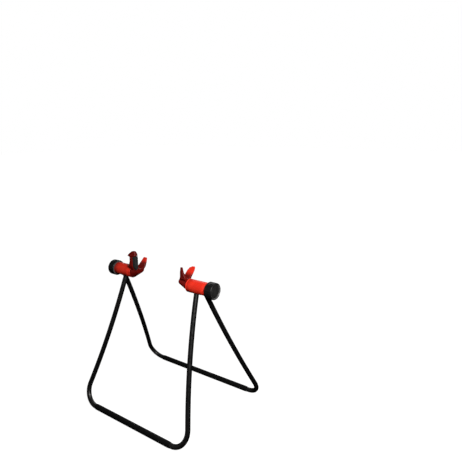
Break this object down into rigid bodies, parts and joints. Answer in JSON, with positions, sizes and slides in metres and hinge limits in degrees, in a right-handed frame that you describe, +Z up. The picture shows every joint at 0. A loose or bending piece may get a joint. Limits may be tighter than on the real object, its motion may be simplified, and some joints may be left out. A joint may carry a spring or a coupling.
{
  "type": "bike repair stand",
  "caption": "Folding tubular stand whose two open claws hold a bicycle by its rear hub, with the wheel clear of the floor.",
  "frame": {"origin": "on the floor, in the middle of the footprint", "axes": "+X along the axle line through both heads, +Y towards the rear frame, +Z up"},
  "size_m": [0.4168, 0.3068, 0.4225],
  "materials": {
    "black_tube": "satin black paint on steel tube",
    "sleeve_rubber": "matt black rubber",
    "liner_rubber": "matt black rubber pad",
    "red_plastic": "bright red moulded plastic, slightly glossy",
    "black_plastic": "black moulded plastic",
    "zinc_steel": "zinc-plated steel",
    "screw_steel": "blackened steel"
  },
  "bodies": {
    "front_frame": {"front_frame_tube": "black_tube", "front_floor_sleeve": "sleeve_rubber", "left_barrel": "red_plastic", "left_pivot_sleeve": "zinc_steel", "left_leg_spacer": "black_plastic", "left_knob_bearing": "black_plastic", "left_thrust_washer": "zinc_steel", "left_leg_screw": "screw_steel", "right_barrel": "red_plastic", "right_pivot_sleeve": "zinc_steel", "right_leg_spacer": "black_plastic", "right_knob_bearing": "black_plastic", "right_thrust_washer": "zinc_steel", "right_leg_screw": "screw_steel"},
    "rear_frame": {"rear_frame_tube": "black_tube", "rear_floor_sleeve": "sleeve_rubber"},
    "left_knob": {"left_knob": "black_plastic", "left_knob_insert": "zinc_steel", "left_knob_cover": "black_plastic"},
    "left_claw": {"left_claw": "red_plastic", "left_clamp_bolt": "zinc_steel", "left_claw_facing": "liner_rubber"},
    "right_knob": {"right_knob": "black_plastic", "right_knob_insert": "zinc_steel", "right_knob_cover": "black_plastic"},
    "right_claw": {"right_claw": "red_plastic", "right_clamp_bolt": "zinc_steel"}
  },
  "joints": [
    {"name": "frame_fold", "type": "hinge", "parent": "front_frame", "child": "rear_frame", "pos_m": [0, -0.0141, 0.36], "axis": [-1, 0, 0], "range_deg": [0, 43.2]},
    {"name": "left_knob_turn", "type": "hinge", "parent": "front_frame", "child": "left_knob", "pos_m": [-0.16, -0.0141, 0.36], "axis": [-1, 0, 0], "range_deg": [0, 2520]},
    {"name": "left_claw_slide", "type": "slide", "parent": "front_frame", "child": "left_claw", "axis": [1, 0, 0], "range_m": [0, 0.007]},
    {"name": "right_knob_turn", "type": "hinge", "parent": "front_frame", "child": "right_knob", "pos_m": [0.16, -0.0141, 0.36], "axis": [1, 0, 0], "range_deg": [0, 2520]},
    {"name": "right_claw_slide", "type": "slide", "parent": "front_frame", "child": "right_claw", "axis": [-1, 0, 0], "range_m": [0, 0.007]}
  ],
  "couplings": [
    {"joint": "left_claw_slide", "follows": "left_knob_turn", "m_per_rad": 0.00015915},
    {"joint": "right_claw_slide", "follows": "right_knob_turn", "m_per_rad": 0.00015915}
  ]
}
